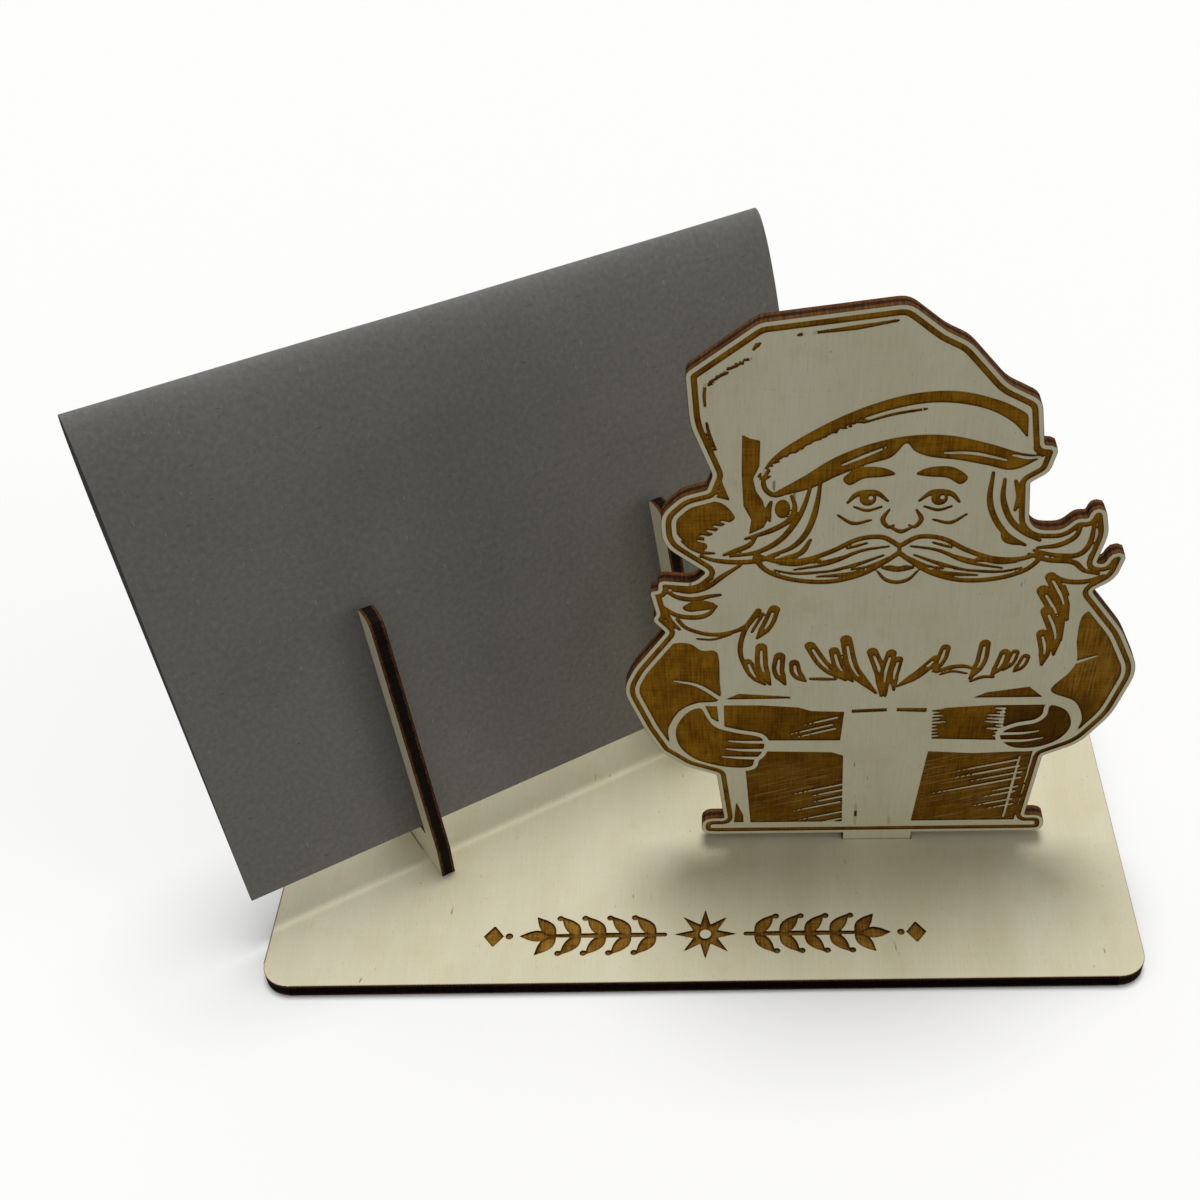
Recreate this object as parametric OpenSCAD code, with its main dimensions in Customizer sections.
// Gift card holder: a laser-cut plywood base carries an upright engraved figure panel and two
// forked holders, and a softly folded card stands in the forks.
// Millimetres, +Z up. The origin is the middle of the base plate's underside, and the front is -Y.

/* [Plywood] */
// Thickness of every plywood piece
ply = 3; // [2.6:0.1:4]
// Play round a tab in its slot, on each side
fit = 0.1; // [0.05:0.05:0.2]

/* [Base plate] */
// Width, left to right
base_w = 180; // [170:1:240]
// Depth, front to back
base_d = 110; // [100:1:160]
// Radius of the four corners
base_r = 6; // [2:0.5:12]

/* [Figure panel] */
// Height of the figure above the base plate
figure_h = 127.5; // [90:0.5:170]
// Width of the figure across its arms
figure_w = 101; // [80:1:130]
// Middle of the figure, right of the middle of the base
figure_x = 37.5; // [0:0.5:40]
// Front face of the figure, behind the front edge of the base
figure_y = 38.5; // [36:0.5:42]
// Gap under the figure's straight lower rim
figure_lift = 2; // [1:0.5:4]
// Width of the tab that stands in the base plate
figure_tab_w = 15; // [10:1:30]

/* [Card holders] */
// Turn of the card and its holders from the front edge, in degrees
card_turn = 32.5; // [25:0.5:36]
// Lean of the card and the front prongs from upright, in degrees
card_lean = 13.5; // [8:0.5:18]
// Front foot of the left holder, left of the middle of the base
holder_x = 56.5; // [50:0.5:60]
// Front foot of the left holder, behind the front edge of the base
holder_y = 28.8; // [24:0.2:34]
// Distance between the left faces of the two holders
holder_pitch = 65.5; // [50:0.5:72]
// Height of a front prong above the base plate
prong_h = 61.5; // [40:0.5:80]
// Depth of a front prong, front to back
prong_d = 5.3; // [4:0.1:8]
// Radius of the front prong's upper front corner
prong_r = 4; // [1:0.5:5]
// Height of the slot floor above the base plate
seat_h = 8.5; // [6:0.5:14]
// Length of a holder's foot
foot_l = 33; // [28:1:36]
// Height of a back prong above the base plate
brace_h = 40; // [24:1:50]
// Depth of a back prong at its top
brace_d = 5.5; // [4:0.5:8]
// Radius of the back prong's upper back corner
brace_r = 3; // [1:0.5:4]
// Length of a holder's tab in the base plate
holder_tab_l = 17; // [10:1:20]
// Front end of a holder's tab, behind the front foot
holder_tab_y = 9.7; // [6:0.1:12]

/* [Folded card] */
// Width of the sheet, along the fold
card_w = 142; // [100:1:160]
// Height from the slot floor to the top of the fold, along the lean
card_h = 103; // [75:1:130]
// Thickness of the sheet
sheet = 0.4; // [0.3:0.1:0.6]
// Left end of the card, left of the left holder
card_over = 37.6; // [20:0.1:50]
// Play between the front prongs and the card
card_play = 2.3; // [0.5:0.1:3]
// Depth of the soft fold over its outer faces
fold_d = 8.2; // [5:0.1:10]
// Height at the top over which the two leaves bend into the fold
fold_h = 20; // [12:1:24]

/* [Hidden] */

wood = "BurlyWood";
paper = "DimGray";

// Gap between the card's back leaf and the slot's back wall
clear = 0.3;
// Gap under the card's lowest corner
seat_gap = 0.07;
// Gap between the two leaves where they meet in the slot
leaf_gap = 0.2;
// Depth of the closed leaves where they stand in the slot
foot_d = 2 * sheet + leaf_gap;
// The two leaves spread from the slot to the fold by this angle
leaf_spread = atan((fold_d - foot_d) / (card_h - fold_h));
// Width of the slot at its floor
slot_w = card_play + (foot_d + clear) / cos(card_lean);
// Height of the card's front lower edge, so that its back lower edge clears the slot floor
card_z = seat_h + seat_gap + foot_d * sin(card_lean);
// Front faces of the leaning prongs, at the height of the slot floor
prong_y = 0.2;
// Height and width of the figure drawing's own grid, and the height of its lower rim there
grid_h = 127.5;
grid_w = 101;
grid_lift = 2;
// Spread of the crown of the fold, and its place, as shares of the fold's depth
crown_w = 0.31;
crown_at = 0.55;
// How far the leaves bow out below the fold
bow = 0.4;
// Curve points on each side of the fold
fold_steps = 10;
// Radii of the holders' small corners, of the slot's floor corners, and of the heel
tip_r = 0.6;
slot_r = 0.3;
heel_r = 6;
// Spacing of the points on a rounded corner, and the share of a side that a corner may take
arc_step = 1.2;
side_share = 0.49;
// A corner whose half angle is over this is left as it is
flat_half = 88.5;

function unit(v) = v / norm(v);

// Arc that rounds corner b of the path a, b, c to radius r, as points an arc step apart
function corner(a, b, c, r) =
    let (u = unit(a - b), w = unit(c - b), half = acos(u * w) / 2)
    (r <= 0 || half > flat_half) ? [b] :
    let (
        reach = min(r / tan(half), side_share * norm(a - b), side_share * norm(c - b)),
        rr = reach * tan(half),
        m = b + unit(u + w) * rr / sin(half),
        p = b + u * reach,
        q = b + w * reach,
        a0 = atan2(p.y - m.y, p.x - m.x),
        turn = atan2(q.y - m.y, q.x - m.x) - a0,
        sweep = turn > 180 ? turn - 360 : turn < -180 ? turn + 360 : turn,
        steps = max(2, ceil(abs(sweep) * PI / 180 * rr / arc_step))
    )
    [for (i = [0 : steps]) m + rr * [cos(a0 + sweep * i / steps), sin(a0 + sweep * i / steps)]];

// Closed outline through [x, y, radius] corners
function rounded(pts) =
    let (n = len(pts))
    [for (i = [0 : n - 1])
        let (a = pts[(i + n - 1) % n], b = pts[i], c = pts[(i + 1) % n])
        each corner([a.x, a.y], [b.x, b.y], [c.x, c.y], b[2])];

// Point at t on a cubic curve with four control points
function bezier(p, t) =
    pow(1 - t, 3) * p[0] + 3 * t * pow(1 - t, 2) * p[1] + 3 * t * t * (1 - t) * p[2] + pow(t, 3) * p[3];

// Left normals of an open path, one for each point
function normals(path) =
    [for (i = [0 : len(path) - 1])
        let (d = unit(path[min(i + 1, len(path) - 1)] - path[max(i - 1, 0)])) [-d.y, d.x]];

// Outline of the figure on its own grid: u right from its middle, v up from the base plate, radius.
// It runs from the tab up the right side, over the hat, and down the left side.
function figure_outline() =
    let (
        su = figure_w / grid_w,
        sv = (figure_h - figure_lift) / (grid_h - grid_lift),
        half_tab = figure_tab_w / 2,
        drawn = concat(right_side(), hat(), left_side())
    )
    concat(
        [[half_tab, -ply, 0], [half_tab, figure_lift, 0]],
        [for (p = drawn) [p[0] * su, figure_lift + (p[1] - grid_lift) * sv, p[2] * min(su, sv)]],
        [[-half_tab, figure_lift, 0], [-half_tab, -ply, 0]]
    );

// Ground strip, parcel, right arm, beard tips and the side of the head
function right_side() = [
    [33.5, 2, 2], [36.1, 2.2, 2.2], [36.1, 7, 2.2], [31.6, 7, 0.4], [33.1, 24.9, 0.8], [40.2, 28.4, 10],
    [45.6, 36.4, 16], [48.9, 48.6, 9], [44, 58.6, 20], [36.5, 68.3, 0.5], [40.6, 71.2, 5], [41.9, 77.3, 1.6],
    [38.8, 77.2, 1.8], [37.8, 74.6, 0.8], [36.3, 74.9, 0.4], [37.6, 81.6, 8], [36.2, 87.2, 1.9],
    [33.7, 87.1, 1.6], [33.2, 85, 0.4], [31.2, 85.1, 2], [28.8, 82.5, 3], [22.8, 82.6, 5],
    [21.7, 92.8, 0.5], [24.9, 95, 2.6], [26, 100.4, 1.6]
];

// Brim, crown and folded tip of the hat
function hat() = [
    [23.2, 100.6, 0.5], [21.7, 109.4, 3], [15.5, 112.6, 8], [8.5, 120.4, 8], [4.3, 122.5, 10],
    [-2.1, 127.5, 4], [-26.5, 124.3, 4], [-38.8, 115.2, 1.5], [-38.3, 105.3, 14], [-34.5, 95, 1.5]
];

// Bobble, hair tips, left arm, parcel and ground strip
function left_side() = [
    [-35.6, 91.9, 0.4], [-40.1, 90.6, 6], [-44.1, 86.6, 5], [-43.9, 79.8, 6], [-36.1, 73.6, 0.4],
    [-38.4, 71.2, 3], [-45.2, 71.9, 1.6], [-45.1, 69.4, 0.4], [-46.8, 69.4, 1], [-45.7, 63.7, 0.8],
    [-46.6, 62.3, 1.2], [-44.1, 59.3, 0.4], [-50.6, 50.2, 14], [-53.2, 44.6, 7], [-49.2, 33.4, 20],
    [-46.2, 27.2, 1.5], [-41, 22.8, 6], [-34.8, 20.3, 0.5], [-33.4, 7, 0.4], [-38.3, 7, 2.2],
    [-38.3, 2.2, 2.2], [-35, 2, 2]
];

// Places things in the holders' own frame: x along the card, y square to it, z up from the base plate
module card_frame(along = 0) {
    translate([-holder_x, holder_y - base_d / 2, ply])
        rotate([0, 0, card_turn])
            translate([along, 0, 0])
                children();
}

// Side outline of a holder: y back from its front foot, z up from the base plate
function holder_outline() =
    let (
        lean = tan(card_lean),
        spread = tan(card_lean + leaf_spread),
        top_y = prong_y + (prong_h - seat_h) * lean,
        slot_y = prong_y + prong_d,
        brace_y = slot_y + slot_w + (brace_h - seat_h) * spread
    )
    [
        [0, 0, 0],
        [0, seat_h - prong_y / lean, tip_r],
        [top_y, prong_h, prong_r],
        [top_y + prong_d, prong_h, tip_r],
        [slot_y, seat_h, slot_r],
        [slot_y + slot_w, seat_h, slot_r],
        [brace_y, brace_h, tip_r],
        [brace_y + brace_d, brace_h, brace_r],
        [foot_l, seat_h, heel_r],
        [foot_l, 0, 0],
        [holder_tab_y + holder_tab_l, 0, 0],
        [holder_tab_y + holder_tab_l, -ply, 0],
        [holder_tab_y, -ply, 0],
        [holder_tab_y, 0, 0]
    ];

// Middle line of the sheet: u up along the lean, v back from the front leaf's outer face
function sheet_path() =
    let (
        start = card_h - fold_h,
        top = card_h - sheet / 2,
        front = sheet / 2,
        back = fold_d - sheet / 2,
        depth = back - front,
        crown = [top, front + crown_at * depth],
        reach = [0, crown_w * depth],
        rise = [[start, front], [start + fold_h / 2, front + bow], crown - reach, crown],
        fall = [crown, crown + reach, [start + fold_h / 2, back + bow], [start, back]]
    )
    concat(
        [[0, front]],
        [for (i = [0 : fold_steps]) bezier(rise, i / fold_steps)],
        [for (i = [1 : fold_steps]) bezier(fall, i / fold_steps)],
        [[0, front + sheet + leaf_gap]]
    );

// Cutter for a tab's slot, longer than the plate is thick
module tab_slot(length, width) {
    linear_extrude(3 * ply, center = true)
        square([length + 2 * fit, width + 2 * fit], center = true);
}

module base_plate() {
    corners = [[0, 0], [base_w, 0], [base_w, base_d], [0, base_d]];
    color(wood)
        difference() {
            translate([-base_w / 2, -base_d / 2, 0])
                linear_extrude(ply)
                    polygon(rounded([for (c = corners) [c.x, c.y, base_r]]));
            translate([figure_x, figure_y - base_d / 2 + ply / 2, ply / 2])
                tab_slot(figure_tab_w, ply);
            for (k = [0, 1])
                card_frame(k * holder_pitch)
                    translate([ply / 2, holder_tab_y + holder_tab_l / 2, -ply / 2])
                        tab_slot(ply, holder_tab_l);
        }
}

module figure_panel() {
    color(wood)
        translate([figure_x, figure_y - base_d / 2 + ply, ply])
            rotate([90, 0, 0])
                linear_extrude(ply)
                    polygon(rounded(figure_outline()));
}

module card_holder(k) {
    color(wood)
        card_frame(k * holder_pitch)
            rotate([90, 0, 90])
                linear_extrude(ply)
                    polygon(rounded(holder_outline()));
}

module left_card_holder() {
    card_holder(0);
}

module right_card_holder() {
    card_holder(1);
}

module folded_card() {
    path = sheet_path();
    side = normals(path);
    last = len(path) - 1;
    outline = concat(
        [for (i = [0 : last]) path[i] + side[i] * sheet / 2],
        [for (i = [last : -1 : 0]) path[i] - side[i] * sheet / 2]
    );
    color(paper)
        card_frame(-card_over)
            translate([0, prong_y + prong_d + card_play, card_z])
                rotate([-card_lean, 0, 0])
                    rotate([90, 0, 90])
                        linear_extrude(card_w)
                            polygon([for (p = outline) [p.y, p.x]]);
}

base_plate();
figure_panel();
left_card_holder();
right_card_holder();
folded_card();
